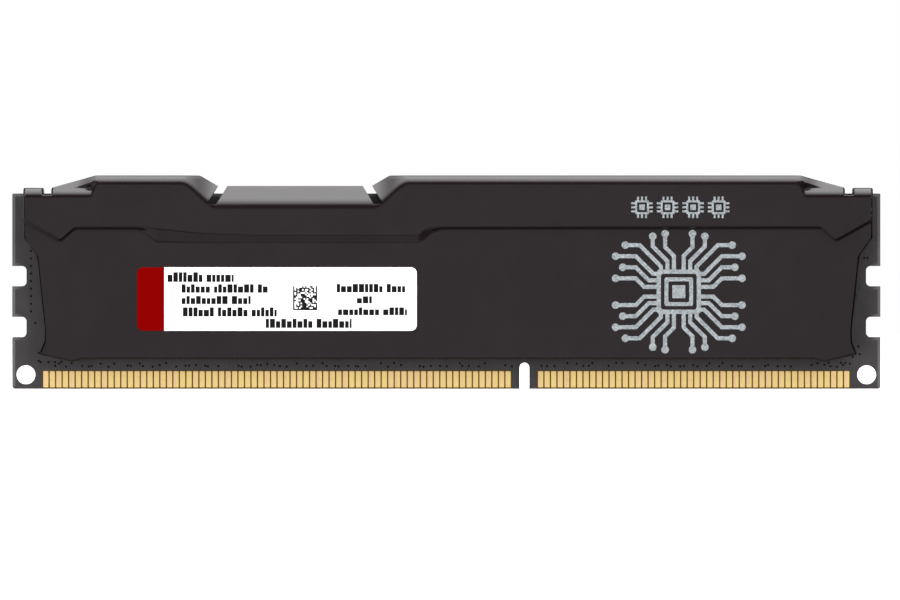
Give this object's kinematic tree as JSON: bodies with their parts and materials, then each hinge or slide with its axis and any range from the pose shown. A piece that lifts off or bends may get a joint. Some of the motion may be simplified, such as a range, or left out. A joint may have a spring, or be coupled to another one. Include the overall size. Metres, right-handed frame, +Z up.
{
  "type": "memory module",
  "caption": "Desktop memory module: circuit board with gold edge contacts and memory chips, clad on both sides by black anodised aluminium heat spreaders with folded top flanges.",
  "frame": {"origin": "middle of the contact edge's flat bottom, halfway through the board's thickness", "axes": "+Z up from the socket, +X along the board towards the short contact group, -Y out of the labelled face"},
  "size_m": [0.1334, 0.0072, 0.0327],
  "materials": {
    "board_laminate": "satin",
    "contact_gold": "satin",
    "chip_moulding": "matte",
    "resistor_glaze": "satin",
    "capacitor_ceramic": "matte",
    "thermal_tape": "matte",
    "anodised_aluminium": "satin",
    "label_paper": "satin"
  },
  "bodies": {
    "root": {"pcb_board": "board_laminate", "contacts_front_long": "contact_gold", "contacts_front_short": "contact_gold", "contacts_rear_long": "contact_gold", "contacts_rear_short": "contact_gold", "dram_front_1": "chip_moulding", "dram_front_2": "chip_moulding", "dram_front_3": "chip_moulding", "dram_front_4": "chip_moulding", "dram_front_5": "chip_moulding", "dram_front_6": "chip_moulding", "dram_front_7": "chip_moulding", "dram_front_8": "chip_moulding", "dram_rear_1": "chip_moulding", "dram_rear_2": "chip_moulding", "dram_rear_3": "chip_moulding", "dram_rear_4": "chip_moulding", "dram_rear_5": "chip_moulding", "dram_rear_6": "chip_moulding", "dram_rear_7": "chip_moulding", "dram_rear_8": "chip_moulding", "resistor_array_front_1": "resistor_glaze", "resistor_array_front_2": "resistor_glaze", "resistor_array_front_3": "resistor_glaze", "resistor_array_front_4": "resistor_glaze", "resistor_array_front_5": "resistor_glaze", "resistor_array_front_6": "resistor_glaze", "resistor_array_front_7": "resistor_glaze", "resistor_array_front_8": "resistor_glaze", "resistor_array_rear_1": "resistor_glaze", "resistor_array_rear_2": "resistor_glaze", "resistor_array_rear_3": "resistor_glaze", "resistor_array_rear_4": "resistor_glaze", "resistor_array_rear_5": "resistor_glaze", "resistor_array_rear_6": "resistor_glaze", "resistor_array_rear_7": "resistor_glaze", "resistor_array_rear_8": "resistor_glaze", "capacitor_front_1": "capacitor_ceramic", "capacitor_front_2": "capacitor_ceramic", "capacitor_front_3": "capacitor_ceramic", "capacitor_front_4": "capacitor_ceramic", "capacitor_rear_1": "capacitor_ceramic", "capacitor_rear_2": "capacitor_ceramic", "capacitor_rear_3": "capacitor_ceramic", "capacitor_rear_4": "capacitor_ceramic", "spd_eeprom": "chip_moulding", "front_thermal_tape": "thermal_tape", "rear_thermal_tape": "thermal_tape", "front_heat_spreader": "anodised_aluminium", "rear_heat_spreader": "anodised_aluminium", "label": "label_paper"}
  },
  "joints": []
}
